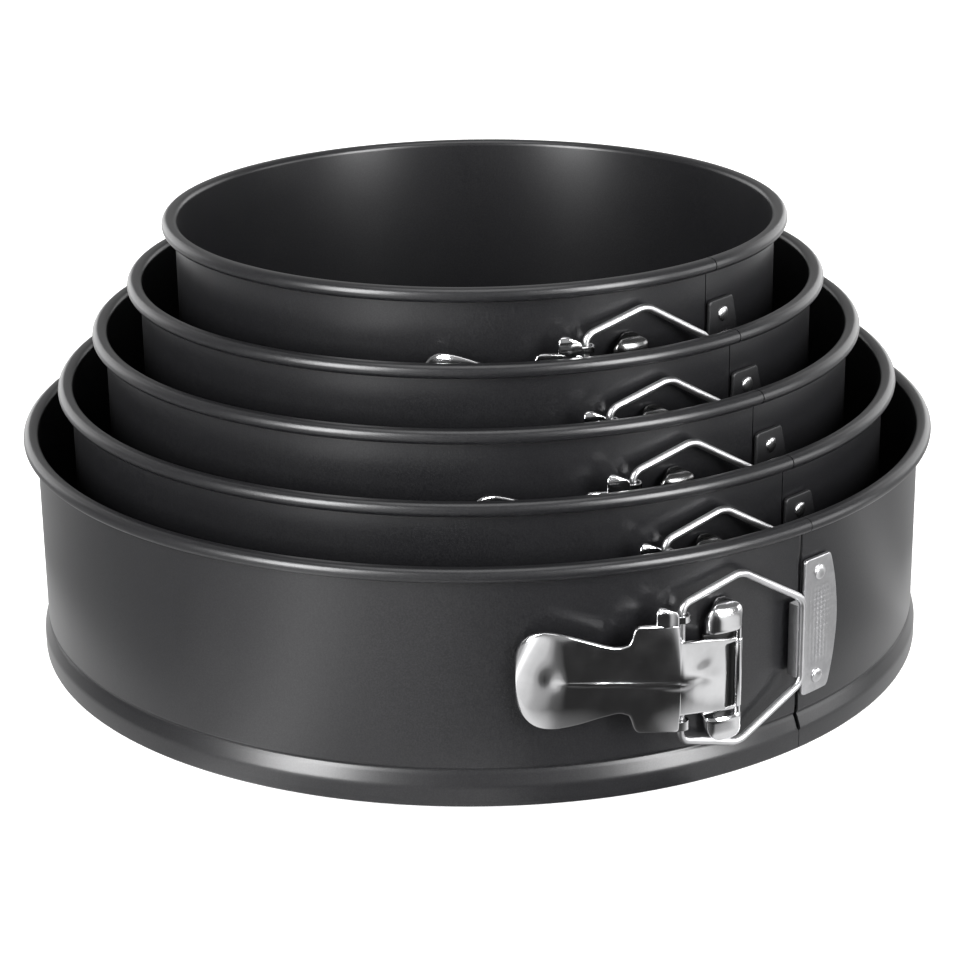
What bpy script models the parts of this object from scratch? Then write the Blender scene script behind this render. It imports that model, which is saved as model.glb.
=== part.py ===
"""A nested set of five springform pans.

Each pan is a steel band that a lever latch pulls shut round a loose base disc. The largest pan is built to
open: its band is in two halves that hinge at the back, and its lever and bail turn. The smaller pans are shut
and stand one inside the next.

Frame: +Z up, the pans' common axis is Z, the largest base rests on z = 0 and its band's seam faces -Y.
Sizes below are in millimetres. Along a wall, a place is given as (s, h, z): s is the arc length from the seam,
positive towards +X, h is the height off the wall's outer surface, and z is the height above the pan's foot.
"""

import math

import bmesh
import bpy

MM = 0.001

# The set: inner diameter, height of the foot above the table, turn about Z in degrees, facets round the band.
PANS = (
    ("pan24", 240.0, 0.0, 0.0, 36),
    ("pan22", 220.0, 12.5, 1.9, 30),
    ("pan20", 200.0, 27.0, 1.9, 30),
    ("pan18", 180.0, 40.0, 3.3, 30),
    ("pan16", 160.0, 56.0, 4.8, 30),
)

# Band
SHEET = 0.6
PAN_HEIGHT = 62.0
RIM_OVERHANG = 3.5
RIM_DEPTH = 3.6
BEAD_CUT = 1.1
EDGE_CUT = 0.5
CREASE_Z = 9.2
CREASE_DEPTH = 0.5
FOOT_FLARE = 1.2
FOOT_EDGE_Z = 5.4
FOOT_LIP = 0.8
FOOT_CLEARANCE = 0.2
FOOT_CUT = 0.9
GAP = 0.3
HALF_GAP = 0.15
SEAM_GAP = 0.6
TONGUE_LENGTH = 12.5
TONGUE_DROP = 1.1
TONGUE_INSET = 1.6
TONGUE_ROOT = 4.5
TONGUE_BEND = 1.5
SHORTEST_FACET = 0.2

# Base disc
BASE_SHEET = 0.8
BASE_FLANGE_Z = 1.4
BASE_STEP_INSET = 6.0
BASE_STEP_RUN = 1.4

# Latch
HINGE_S = -22.0
HINGE_H = 2.9
HINGE_Z = 28.5
PIN_RADIUS = 0.8
LUG_INNER = 10.9
LUG_OUTER = 14.0
LUG_HEIGHT = 4.6
LUG_SLOPE = 0.5
LUG_SIDE = 0.1
PIN_INSET = 2.0
BORE_INSET = 1.0
BRACKET_S = -25.6
BRACKET_Z = 29.1
BRACKET_HALF_LENGTH = 18.4
BRACKET_HALF_WIDTH = 5.2
BRACKET_SHEET = 0.8
BRACKET_END = 2.0
BRACKET_SHOULDER = 0.5
BRACKET_RIVET_S = -27.4
BRACKET_RIVET_RISE = 5.5

PIVOT_S = -38.2
PIVOT_H = 4.0
WIRE_RADIUS = 1.0
WIRE_SIDES = 6
BAIL_END_S = -3.3
BAIL_END_H = 4.2
BAIL_CENTRE_Z = 31.6
BAIL_PIVOT_RISE = 17.5
BAIL_APEX_RISE = 22.3
BAIL_APEX_AT = 0.48
BAIL_END_RISE = 11.1
BAIL_BEND = 2.2

LEVER_SHEET = 1.0
EAR_S = (-45.3, -36.0)
EAR_H = (2.4, 6.2)
EAR_Z = (11.8, 15.1)
EAR_CENTRE_Z = 31.5
WINDOW_S = (-26.1, -22.8)
WINDOW_Z = (19.6, 36.4)
WINDOW_H = (0.0, 9.0)
BAIL_BORE_REACH = 25.0
# Lever, from the tab's tip to the pin: (s, centre z, half height, height of the sheet's middle off the wall)
LEVER_STATIONS = (
    (-77.6, 34.1, 5.6, 5.5),
    (-76.6, 34.1, 8.8, 5.6),
    (-74.4, 34.1, 11.2, 5.9),
    (-71.0, 34.1, 12.3, 6.2),
    (-67.0, 34.0, 12.0, 6.3),
    (-61.5, 33.6, 10.4, 6.2),
    (-56.5, 33.1, 8.8, 6.0),
    (-53.4, 32.9, 8.4, 5.9),
    (-51.2, 32.7, 9.8, 5.9),
    (-50.0, 32.5, 13.6, 5.9),
    (-39.4, 31.1, 13.8, 5.9),
    (-38.8, 30.8, 9.4, 5.9),
    (-35.4, 30.3, 9.4, 5.8),
    (-28.5, 28.9, 9.4, 4.6),
    (-24.6, 28.1, 9.4, 3.1),
    (-21.3, 27.9, 9.4, 2.9),
)

CATCH_SHEET = 1.0
CATCH_CENTRE_Z = 32.4
CATCH_RIVET_S = 5.8
CATCH_RIVET_RISE = 13.9
# Catch plate, from its seam side outwards: (s, half height)
CATCH_STATIONS = (
    (0.4, 17.5),
    (2.0, 18.1),
    (10.2, 18.0),
    (12.2, 11.0),
    (13.5, 4.0),
)
HOOK_HALF_HEIGHT = 9.4
HOOK_SHEET = 0.8
HOOK_UNDER = 0.7
HOOK_TIP_S = -6.3
HOOK_TIP_H = 4.6

RIVET_SIDES = 8
RIVET_SHANK = 1.1
RIVET_HOLE = 1.4
RIVET_HEAD = 1.9
RIVET_HEAD_TOP = 1.4
RIVET_HEAD_HEIGHT = 0.6
RIVET_HEAD_TAPER = 0.7
DRILL_REACH = 4.0

# Finishes: base colour, metallic, roughness
FINISHES = {
    "band_coating": ((0.045, 0.045, 0.048), 0.75, 0.38),
    "base_coating": ((0.040, 0.040, 0.043), 0.70, 0.45),
    "bracket_chrome": ((0.72, 0.72, 0.73), 1.0, 0.22),
    "lever_chrome": ((0.76, 0.76, 0.77), 1.0, 0.16),
    "bail_chrome": ((0.74, 0.74, 0.75), 1.0, 0.20),
    "catch_plate_steel": ((0.55, 0.55, 0.56), 1.0, 0.34),
    "rivet_steel": ((0.66, 0.66, 0.67), 1.0, 0.28),
}


# Scene helpers


def clear_scene():
    for obj in list(bpy.data.objects):
        bpy.data.objects.remove(obj, do_unlink=True)


def make_finishes():
    finishes = {}
    for name, (colour, metallic, roughness) in FINISHES.items():
        material = bpy.data.materials.new(name)
        material.use_nodes = True
        shader = material.node_tree.nodes["Principled BSDF"]
        shader.inputs["Base Color"].default_value = (*colour, 1.0)
        shader.inputs["Metallic"].default_value = metallic
        shader.inputs["Roughness"].default_value = roughness
        finishes[name] = material
    return finishes


def add_empty(name, place, parent=None, turn=0.0):
    """An empty at a place given in its parent's frame, in millimetres, turned about Z by degrees."""
    empty = bpy.data.objects.new(name, None)
    empty.empty_display_size = 0.01
    empty.location = [value * MM for value in place]
    empty.rotation_euler.z = math.radians(turn)
    empty.parent = parent
    bpy.context.scene.collection.objects.link(empty)
    return empty


def add_mesh(name, points, faces, origin=(0.0, 0.0, 0.0)):
    """A mesh object from points in millimetres. Its own origin is put at `origin`, in the same frame."""
    mesh = bpy.data.meshes.new(name)
    shifted = [[(value - start) * MM for value, start in zip(point, origin)] for point in points]
    mesh.from_pydata(shifted, [], faces)
    work = bmesh.new()
    work.from_mesh(mesh)
    bmesh.ops.remove_doubles(work, verts=work.verts, dist=1e-7)
    bmesh.ops.recalc_face_normals(work, faces=work.faces)
    work.to_mesh(mesh)
    work.free()
    obj = bpy.data.objects.new(name, mesh)
    obj.location = [value * MM for value in origin]
    bpy.context.scene.collection.objects.link(obj)
    return obj


def combine(target, tool, operation):
    """Joins the tool to the target, or cuts it away, and removes the tool."""
    modifier = target.modifiers.new(operation.lower(), "BOOLEAN")
    modifier.operation = operation
    modifier.object = tool
    graph = bpy.context.evaluated_depsgraph_get()
    mesh = bpy.data.meshes.new_from_object(target.evaluated_get(graph))
    target.modifiers.clear()
    target.data = mesh
    bpy.data.objects.remove(tool, do_unlink=True)


def finish(obj, material, parent):
    """Gives a piece its finish and smooth shading, and hangs it on its parent without moving it."""
    obj.data.materials.clear()
    obj.data.materials.append(material)
    obj.data.shade_smooth()
    obj.data.set_sharp_from_angle(angle=math.radians(35))
    bpy.context.view_layer.update()
    obj.location = obj.location - offset_in_pan(parent)
    obj.parent = parent


def offset_in_pan(empty):
    """Where an empty lies in its pan's frame."""
    place = empty.location.copy()
    while empty.parent:
        empty = empty.parent
        place += empty.location
    return place - empty.location


# Geometry helpers


def on_circle(radius, angle, z):
    """A point at an angle from the seam, positive towards +X."""
    return (radius * math.sin(angle), -radius * math.cos(angle), z)


def on_wall(wall, s, h, z):
    """A point at arc length s from the seam and height h off a wall of this outer radius."""
    return on_circle(wall + h, s / wall, z)


def loft(rings, closed=False):
    """Points and faces of a skin over rings of points, with flat ends unless the rings close on themselves."""
    count = len(rings[0])
    points = [point for ring in rings for point in ring]
    faces = []
    steps = len(rings) if closed else len(rings) - 1
    for step in range(steps):
        here = step * count
        there = ((step + 1) % len(rings)) * count
        for i in range(count):
            j = (i + 1) % count
            faces.append((here + i, here + j, there + j, there + i))
    if not closed:
        faces.append(tuple(range(count)))
        faces.append(tuple(range(len(points) - count, len(points))))
    return points, faces


def block(wall, s_range, h_range, z_range):
    """A block bent to the wall."""
    rings = []
    for s in s_range:
        ring = [on_wall(wall, s, h, z_range[0]) for h in h_range]
        ring += [on_wall(wall, s, h, z_range[1]) for h in reversed(h_range)]
        rings.append(ring)
    return loft(rings)


def upright_rod(place, radius, z_range, sides):
    """A rod along Z round a place (x, y)."""
    rings = []
    for z in z_range:
        ring = []
        for i in range(sides):
            turn = 2 * math.pi * i / sides
            ring.append((place[0] + radius * math.cos(turn), place[1] + radius * math.sin(turn), z))
        rings.append(ring)
    return loft(rings)


def radial_rod(wall, s, z, stations, sides):
    """A turned piece whose axis stands on the wall at (s, z). Stations are (h, radius)."""
    angle = s / wall
    across = (math.cos(angle), math.sin(angle))
    rings = []
    for h, radius in stations:
        centre = on_wall(wall, s, h, z)
        ring = []
        for i in range(sides):
            turn = 2 * math.pi * (i + 0.5) / sides
            side = radius * math.cos(turn)
            ring.append((centre[0] + side * across[0], centre[1] + side * across[1], z + radius * math.sin(turn)))
        rings.append(ring)
    return loft(rings)


# Pieces


def band_profile(inner):
    """The sheet's section as (radius, z): down the outside from the rim bead, round the foot, up the inside."""
    outer = inner + SHEET
    rim = outer + RIM_OVERHANG
    top = PAN_HEIGHT
    foot = outer + FOOT_FLARE
    low = FOOT_CLEARANCE
    return (
        (inner + EDGE_CUT, top),
        (rim - BEAD_CUT, top),
        (rim, top - BEAD_CUT),
        (rim, top - RIM_DEPTH + BEAD_CUT),
        (rim - BEAD_CUT, top - RIM_DEPTH),
        (outer, top - RIM_DEPTH + EDGE_CUT),
        (outer, CREASE_Z + CREASE_DEPTH),
        (outer - CREASE_DEPTH, CREASE_Z),
        (outer, CREASE_Z - CREASE_DEPTH),
        (foot, FOOT_EDGE_Z),
        (foot, low + FOOT_CUT),
        (foot - FOOT_CUT, low),
        (inner - FOOT_LIP, low),
        (inner - FOOT_LIP, low + SHEET),
        (foot - SHEET, low + SHEET),
        (foot - SHEET, FOOT_EDGE_Z),
        (inner - CREASE_DEPTH, CREASE_Z - CREASE_DEPTH),
        (inner, CREASE_Z + 2 * CREASE_DEPTH),
        (inner, top - EDGE_CUT),
    )


def band_strip(name, inner, angles, origin=(0.0, 0.0, 0.0)):
    """A length of band with its section at each of these angles."""
    profile = band_profile(inner)
    rings = [[on_circle(radius, angle, z) for radius, z in profile] for angle in angles]
    return add_mesh(name, *loft(rings), origin)


def seam_tongue(inner):
    """The plain end of the strip that tucks inside the other end, past the seam."""
    wall = inner + SHEET
    low = CREASE_Z + TONGUE_INSET
    high = PAN_HEIGHT - RIM_DEPTH - SHEET
    tucked = -SHEET - TONGUE_DROP
    stations = (
        (SEAM_GAP + TONGUE_ROOT, -SHEET - SHEET / 2),
        (SEAM_GAP + TONGUE_BEND, -SHEET - SHEET / 2),
        (SEAM_GAP, tucked),
        (-TONGUE_LENGTH / 2, tucked),
        (-TONGUE_LENGTH, tucked),
    )
    rings = []
    for s, under in stations:
        ring = [on_wall(wall, s, under, low), on_wall(wall, s, under + SHEET, low)]
        ring += [on_wall(wall, s, under + SHEET, high), on_wall(wall, s, under, high)]
        rings.append(ring)
    return add_mesh("tongue", *loft(rings))


def facet_angles(first, last, facets):
    """Angles from first to last, with one at every whole facet between them."""
    step = 2 * math.pi / facets
    angles = [first]
    for i in range(facets + 1):
        if first + SHORTEST_FACET * step < i * step < last - SHORTEST_FACET * step:
            angles.append(i * step)
    angles.append(last)
    return angles


def drill_rivet_holes(obj, wall, s, heights):
    for z in heights:
        stations = ((-DRILL_REACH, RIVET_HOLE), (DRILL_REACH, RIVET_HOLE))
        combine(obj, add_mesh("drill", *radial_rod(wall, s, z, stations, RIVET_SIDES)), "DIFFERENCE")


def bracket_rivet_heights():
    return (HINGE_Z + BRACKET_RIVET_RISE, HINGE_Z - BRACKET_RIVET_RISE)


def catch_rivet_heights():
    return (CATCH_CENTRE_Z + CATCH_RIVET_RISE, CATCH_CENTRE_Z - CATCH_RIVET_RISE)


def base_disc(name, inner, facets):
    """A sheet disc with a sunk floor and a flange that lies in the groove of the band's foot."""
    step = inner - BASE_STEP_INSET
    edge = inner + FOOT_FLARE - GAP
    flange_top = BASE_FLANGE_Z + BASE_SHEET
    profile = (
        (0.0, 0.0),
        (step, 0.0),
        (step + BASE_STEP_RUN, BASE_FLANGE_Z),
        (edge, BASE_FLANGE_Z),
        (edge, flange_top),
        (step + BASE_STEP_RUN - BASE_SHEET, flange_top),
        (step - BASE_SHEET, BASE_SHEET),
        (0.0, BASE_SHEET),
    )
    rings = []
    for i in range(facets):
        angle = 2 * math.pi * i / facets
        rings.append([on_circle(radius, angle, z) for radius, z in profile])
    count = len(profile)
    points, faces = loft(rings, closed=True)
    faces = [face for face in faces if not axis_face(face, count)]
    return add_mesh(name, points, faces)


def axis_face(face, count):
    """Whether a turned face joins only the profile's two points on the axis."""
    return {index % count for index in face} == {0, count - 1}


def hinge_bracket(name, wall):
    """A strap on the wall with two raised lugs, whose bores hold the lever's pin."""
    low = HINGE_Z - LUG_OUTER
    high = HINGE_Z + LUG_OUTER
    end_low = BRACKET_Z - BRACKET_HALF_LENGTH
    end_high = BRACKET_Z + BRACKET_HALF_LENGTH
    flat = GAP + BRACKET_SHEET
    wide = BRACKET_HALF_WIDTH
    stations = (
        (end_low, BRACKET_END, flat),
        (end_low + BRACKET_END, wide - BRACKET_SHOULDER, flat),
        (low - LUG_SLOPE, wide, flat),
        (low, wide, LUG_HEIGHT),
        (HINGE_Z - LUG_INNER, wide, LUG_HEIGHT),
        (HINGE_Z - LUG_INNER + LUG_SIDE, wide, flat),
        (HINGE_Z + LUG_INNER - LUG_SIDE, wide, flat),
        (HINGE_Z + LUG_INNER, wide, LUG_HEIGHT),
        (high, wide, LUG_HEIGHT),
        (high + LUG_SLOPE, wide, flat),
        (end_high - BRACKET_END, wide - BRACKET_SHOULDER, flat),
        (end_high, BRACKET_END, flat),
    )
    rings = []
    for z, half, height in stations:
        left = BRACKET_S - half
        right = BRACKET_S + half
        ring = [on_wall(wall, left, GAP, z), on_wall(wall, right, GAP, z)]
        ring += [on_wall(wall, right, height, z), on_wall(wall, left, height, z)]
        rings.append(ring)
    bracket = add_mesh(name, *loft(rings))
    axis = on_wall(wall, HINGE_S, HINGE_H, 0.0)
    reach = LUG_OUTER - BORE_INSET
    bore = upright_rod(axis, PIN_RADIUS + GAP, (HINGE_Z - reach, HINGE_Z + reach), RIVET_SIDES)
    combine(bracket, add_mesh("bore", *bore), "DIFFERENCE")
    drill_rivet_holes(bracket, wall, BRACKET_RIVET_S, bracket_rivet_heights())
    return bracket


def rivet(name, wall, s, z, facets):
    """A rivet through a plate and the wall, with a head on each side. Its inner head clears the wall's facets."""
    inner_face = -SHEET - GAP - wall * (1 - math.cos(math.pi / facets))
    stations = (
        (inner_face - RIVET_HEAD_HEIGHT, RIVET_HEAD * RIVET_HEAD_TAPER),
        (inner_face, RIVET_HEAD),
        (inner_face, RIVET_SHANK),
        (RIVET_HEAD_TOP, RIVET_SHANK),
        (RIVET_HEAD_TOP, RIVET_HEAD),
        (RIVET_HEAD_TOP + RIVET_HEAD_HEIGHT, RIVET_HEAD * RIVET_HEAD_TAPER),
    )
    return add_mesh(name, *radial_rod(wall, s, z, stations, RIVET_SIDES))


def lever(name, wall):
    """The pressed lever: tab, neck, wide part with ears for the bail, and a tongue that ends in the pin."""
    origin = on_wall(wall, HINGE_S, HINGE_H, HINGE_Z)
    rings = []
    for s, centre, half, middle in LEVER_STATIONS:
        under = middle - LEVER_SHEET / 2
        over = middle + LEVER_SHEET / 2
        ring = [on_wall(wall, s, under, centre - half), on_wall(wall, s, over, centre - half)]
        ring += [on_wall(wall, s, over, centre + half), on_wall(wall, s, under, centre + half)]
        rings.append(ring)
    piece = add_mesh(name, *loft(rings), origin)
    for side in (-1, 1):
        z_range = sorted(EAR_CENTRE_Z + side * z for z in EAR_Z)
        combine(piece, add_mesh("ear", *block(wall, EAR_S, EAR_H, z_range)), "UNION")
    pin_reach = LUG_OUTER - PIN_INSET
    pin = upright_rod(origin, PIN_RADIUS, (HINGE_Z - pin_reach, HINGE_Z + pin_reach), RIVET_SIDES)
    combine(piece, add_mesh("pin", *pin), "UNION")
    combine(piece, add_mesh("window", *block(wall, WINDOW_S, WINDOW_H, WINDOW_Z)), "DIFFERENCE")
    pivot = on_wall(wall, PIVOT_S, PIVOT_H, 0.0)
    bore_range = (BAIL_CENTRE_Z - BAIL_BORE_REACH, BAIL_CENTRE_Z + BAIL_BORE_REACH)
    bail_bore = upright_rod(pivot, WIRE_RADIUS + GAP, bore_range, RIVET_SIDES)
    combine(piece, add_mesh("bail_bore", *bail_bore), "DIFFERENCE")
    return piece


def bail_corners(wall):
    """The corners of the wire's centre line, from the top of the pivot run round to its foot."""
    start = on_wall(wall, PIVOT_S, PIVOT_H, 0.0)
    end = on_wall(wall, BAIL_END_S, BAIL_END_H, 0.0)
    upper = (
        (0.0, BAIL_PIVOT_RISE),
        (BAIL_APEX_AT, BAIL_APEX_RISE),
        (1.0, BAIL_END_RISE),
    )
    lower = [(share, -rise) for share, rise in reversed(upper)]
    corners = []
    for share, rise in (*upper, *lower):
        x = start[0] + share * (end[0] - start[0])
        y = start[1] + share * (end[1] - start[1])
        corners.append((x, y, BAIL_CENTRE_Z + rise))
    return corners


def bail(name, wall):
    """A closed hexagonal loop of wire that lies in one upright plane."""
    origin = on_wall(wall, PIVOT_S, PIVOT_H, BAIL_CENTRE_Z)
    corners = bail_corners(wall)
    count = len(corners)
    path = []
    for i, corner in enumerate(corners):
        for neighbour in (corners[i - 1], corners[(i + 1) % count]):
            length = math.dist(corner, neighbour)
            share = BAIL_BEND / length
            path.append([a + share * (b - a) for a, b in zip(corner, neighbour)])
    along = (corners[2][0] - corners[0][0], corners[2][1] - corners[0][1])
    size = math.hypot(*along)
    along = (along[0] / size, along[1] / size)
    normal = (along[1], -along[0])
    rings = []
    for i, point in enumerate(path):
        before = path[i - 1]
        after = path[(i + 1) % len(path)]
        run = along[0] * (after[0] - before[0]) + along[1] * (after[1] - before[1])
        rise = after[2] - before[2]
        length = math.hypot(run, rise)
        side = (-rise / length, run / length)
        ring = []
        for k in range(WIRE_SIDES):
            turn = 2 * math.pi * k / WIRE_SIDES
            sideways = WIRE_RADIUS * math.cos(turn)
            outward = WIRE_RADIUS * math.sin(turn)
            x = point[0] + sideways * side[0] * along[0] + outward * normal[0]
            y = point[1] + sideways * side[0] * along[1] + outward * normal[1]
            ring.append((x, y, point[2] + sideways * side[1]))
        rings.append(ring)
    return add_mesh(name, *loft(rings, closed=True), origin)


def catch_plate(name, wall):
    """A plate on the band's other end, whose seam side runs under the bail and turns up into a hook."""
    rings = []
    for s, half in CATCH_STATIONS:
        low = CATCH_CENTRE_Z - half
        high = CATCH_CENTRE_Z + half
        ring = [on_wall(wall, s, GAP, low), on_wall(wall, s, GAP + CATCH_SHEET, low)]
        ring += [on_wall(wall, s, GAP + CATCH_SHEET, high), on_wall(wall, s, GAP, high)]
        rings.append(ring)
    plate = add_mesh(name, *loft(rings))
    over = HOOK_UNDER + HOOK_SHEET
    outline = (
        (2.6, HOOK_UNDER),
        (2.6, over),
        (HOOK_TIP_S + HOOK_SHEET, over),
        (HOOK_TIP_S + HOOK_SHEET, HOOK_TIP_H),
        (HOOK_TIP_S, HOOK_TIP_H),
        (HOOK_TIP_S, HOOK_UNDER),
    )
    rings = []
    for z in (BAIL_CENTRE_Z - HOOK_HALF_HEIGHT, BAIL_CENTRE_Z + HOOK_HALF_HEIGHT):
        rings.append([on_wall(wall, s, h, z) for s, h in outline])
    combine(plate, add_mesh("hook", *loft(rings)), "UNION")
    drill_rivet_holes(plate, wall, CATCH_RIVET_S, catch_rivet_heights())
    return plate


# Pans


def add_rivets(pan, kind, wall, facets, material, parent):
    s, heights = {
        "bracket": (BRACKET_RIVET_S, bracket_rivet_heights()),
        "catch": (CATCH_RIVET_S, catch_rivet_heights()),
    }[kind]
    for place, z in zip(("top", "bottom"), heights):
        finish(rivet(f"{pan}_{kind}_rivet_{place}", wall, s, z, facets), material, parent)


def add_latch(pan, wall, facets, finishes, left, right, lever_parent, bail_parent):
    """The latch of one pan. Left carries the bracket and right carries the catch plate."""
    steel = finishes["rivet_steel"]
    finish(hinge_bracket(f"{pan}_hinge_bracket", wall), finishes["bracket_chrome"], left)
    add_rivets(pan, "bracket", wall, facets, steel, left)
    finish(lever(f"{pan}_lever", wall), finishes["lever_chrome"], lever_parent)
    finish(bail(f"{pan}_bail", wall), finishes["bail_chrome"], bail_parent)
    finish(catch_plate(f"{pan}_catch_plate", wall), finishes["catch_plate_steel"], right)
    add_rivets(pan, "catch", wall, facets, steel, right)


def add_opening_pan(pan, inner, lift, turn, facets, finishes):
    """The largest pan: each half of its band hangs on an empty at the back, and so does its latch."""
    wall = inner + SHEET
    back = (0.0, wall, 0.0)
    rig = add_empty(pan, (0.0, 0.0, lift), turn=turn)
    left = add_empty(f"{pan}_left_spring", back, rig)
    right = add_empty(f"{pan}_right_spring", back, rig)
    hinge = on_wall(wall, HINGE_S, HINGE_H, HINGE_Z)
    pivot = on_wall(wall, PIVOT_S, PIVOT_H, BAIL_CENTRE_Z)
    swing = add_empty(f"{pan}_lever_hinge", [a - b for a, b in zip(hinge, back)], left)
    bail_turn = add_empty(f"{pan}_bail_pivot", [a - b for a, b in zip(pivot, hinge)], swing)
    split = HALF_GAP / inner
    right_angles = facet_angles(SEAM_GAP / inner, math.pi - split, facets)
    left_angles = facet_angles(math.pi + split, 2 * math.pi, facets)
    right_half = band_strip(f"{pan}_band_right", inner, right_angles, back)
    left_half = band_strip(f"{pan}_band_left", inner, left_angles, back)
    combine(right_half, seam_tongue(inner), "UNION")
    drill_rivet_holes(right_half, wall, CATCH_RIVET_S, catch_rivet_heights())
    drill_rivet_holes(left_half, wall, BRACKET_RIVET_S, bracket_rivet_heights())
    finish(right_half, finishes["band_coating"], right)
    finish(left_half, finishes["band_coating"], left)
    finish(base_disc(f"{pan}_base", inner, facets), finishes["base_coating"], rig)
    add_latch(pan, wall, facets, finishes, left, right, swing, bail_turn)


def add_shut_pan(pan, inner, lift, turn, facets, finishes):
    """A smaller pan: its band is one strip, and every piece hangs on the pan's own empty."""
    wall = inner + SHEET
    rig = add_empty(pan, (0.0, 0.0, lift), turn=turn)
    band = band_strip(f"{pan}_band", inner, facet_angles(SEAM_GAP / inner, 2 * math.pi, facets))
    combine(band, seam_tongue(inner), "UNION")
    drill_rivet_holes(band, wall, CATCH_RIVET_S, catch_rivet_heights())
    drill_rivet_holes(band, wall, BRACKET_RIVET_S, bracket_rivet_heights())
    finish(band, finishes["band_coating"], rig)
    finish(base_disc(f"{pan}_base", inner, facets), finishes["base_coating"], rig)
    add_latch(pan, wall, facets, finishes, rig, rig, rig, rig)


def main():
    clear_scene()
    finishes = make_finishes()
    largest, *nested = PANS
    name, diameter, *placing = largest
    add_opening_pan(name, diameter / 2, *placing, finishes)
    for name, diameter, *placing in nested:
        add_shut_pan(name, diameter / 2, *placing, finishes)


main()
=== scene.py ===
"""Looks for a nested set of five springform pans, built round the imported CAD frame.

Along a wall, a place is (s, h, z) in millimetres. s is the arc length from the seam, positive towards +X,
h is the height off the wall's outer surface, and z is the height above the pan's foot.
"""

import bisect
import math
from collections import namedtuple

import bmesh
import bpy
import numpy as np
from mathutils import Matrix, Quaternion, Vector

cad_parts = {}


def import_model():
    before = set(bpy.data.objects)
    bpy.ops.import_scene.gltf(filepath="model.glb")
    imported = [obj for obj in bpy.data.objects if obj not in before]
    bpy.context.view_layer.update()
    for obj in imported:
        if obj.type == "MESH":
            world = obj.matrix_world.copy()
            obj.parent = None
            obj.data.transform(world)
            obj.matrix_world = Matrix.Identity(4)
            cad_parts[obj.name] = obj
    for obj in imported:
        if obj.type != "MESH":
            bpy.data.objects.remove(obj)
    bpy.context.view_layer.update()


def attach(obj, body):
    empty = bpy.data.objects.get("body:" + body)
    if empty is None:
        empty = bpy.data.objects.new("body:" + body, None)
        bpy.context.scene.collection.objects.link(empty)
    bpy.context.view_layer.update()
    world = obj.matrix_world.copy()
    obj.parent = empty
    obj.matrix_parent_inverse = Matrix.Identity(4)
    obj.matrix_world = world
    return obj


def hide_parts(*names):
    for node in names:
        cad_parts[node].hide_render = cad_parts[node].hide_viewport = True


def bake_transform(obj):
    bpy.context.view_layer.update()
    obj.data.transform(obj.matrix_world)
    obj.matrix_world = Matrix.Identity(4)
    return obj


MM = 0.001
SHARP_ANGLE = math.radians(38)
WELD_DISTANCE = 1e-7
# Distances from a pressed sheet's edge at which its rounding is drawn
EDGE_STEPS = (0.0, 0.05, 0.14, 0.27, 0.45, 0.8)
STRIP_SOFTENING = 0.14

Pan = namedtuple("Pan", "name inner lift turn wall body")
PANS = [
    Pan(name, inner, lift, math.radians(turn), inner + 0.6, body)
    for name, inner, lift, turn, body in (
        ("pan24", 120.0, 0.0, 0.0, None),
        ("pan22", 110.0, 12.5, 1.9, "pan_22"),
        ("pan20", 100.0, 27.0, 1.9, "pan_20"),
        ("pan18", 90.0, 40.0, 3.3, "pan_18"),
        ("pan16", 80.0, 56.0, 4.8, "pan_16"),
    )
]

# Band
SHEET = 0.6
PAN_HEIGHT = 62.0
RIM_OVERHANG = 3.5
RIM_DEPTH = 3.6
CREASE_Z = 9.2
CREASE_DEPTH = 0.5
FOOT_FLARE = 1.2
FOOT_EDGE_Z = 5.4
FOOT_LIP = 0.8
FOOT_CLEARANCE = 0.2
GAP = 0.3
SEAM_GAP = 0.6
SEAM_LEFT = 0.7
BEAD_REACH = 0.55
INNER_SEAM = 0.3
TONGUE_LENGTH = 12.5
TONGUE_DROP = 1.1
TONGUE_INSET = 1.6
TURN_STEPS = 288
BACK_ARC = math.radians(40)

# Base disc
BASE_SHEET = 0.8
BASE_FLANGE_Z = 1.4
BASE_STEP_INSET = 6.0
BASE_STEP_RUN = 1.4

# Latch
HINGE_S = -22.0
HINGE_H = 2.9
HINGE_Z = 28.5
PIN_RADIUS = 0.8
PIN_REACH = 12.0
KNUCKLE_RADIUS = 1.0
KNUCKLE_REACH = 9.2
BRACKET_S = -25.6
BRACKET_Z = 29.1
BRACKET_HALF_LENGTH = 18.4
BRACKET_HALF_WIDTH = 5.2
BRACKET_SHEET = 0.8
BRACKET_RIVET_S = -27.4
BRACKET_RIVET_RISE = 5.5
PIVOT_S = -38.2
PIVOT_H = 4.0
WIRE_RADIUS = 0.95
BAIL_END_S = -3.3
BAIL_END_H = 4.2
BAIL_CENTRE_Z = 31.6
BAIL_PIVOT_RISE = 17.5
BAIL_APEX_RISE = 22.3
BAIL_APEX_AT = 0.48
BAIL_END_RISE = 11.1
BAIL_BEND = 2.2
LEVER_SHEET = 1.0
WINDOW_S = (-26.1, -22.8)
WINDOW_Z = (19.6, 36.4)
WINDOW_H = (0.0, 9.0)
CATCH_CENTRE_Z = 32.4
CATCH_RIVET_S = 5.8
CATCH_RIVET_RISE = 13.9
HOOK_HALF_HEIGHT = 9.4
HOOK_SHEET = 0.6
CATCH_SHEET = 1.0
KNURL_CENTRE_S = 6.6
KNURL_WIDTH = 3.4
KNURL_HALF_HEIGHT = 10.4
KNURL_FADE = 1.5
KNURL_PITCH = 2.6
KNURL_DEPTH = 0.20
RIVET_SHANK = 1.1
RIVET_HEAD = 1.95
RIVET_RIM = 0.12
RIVET_TIP = 0.12
RIVET_DOME = 0.62
RIVET_BACK = 1.75
WIRE_SIDES = 16

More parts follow.
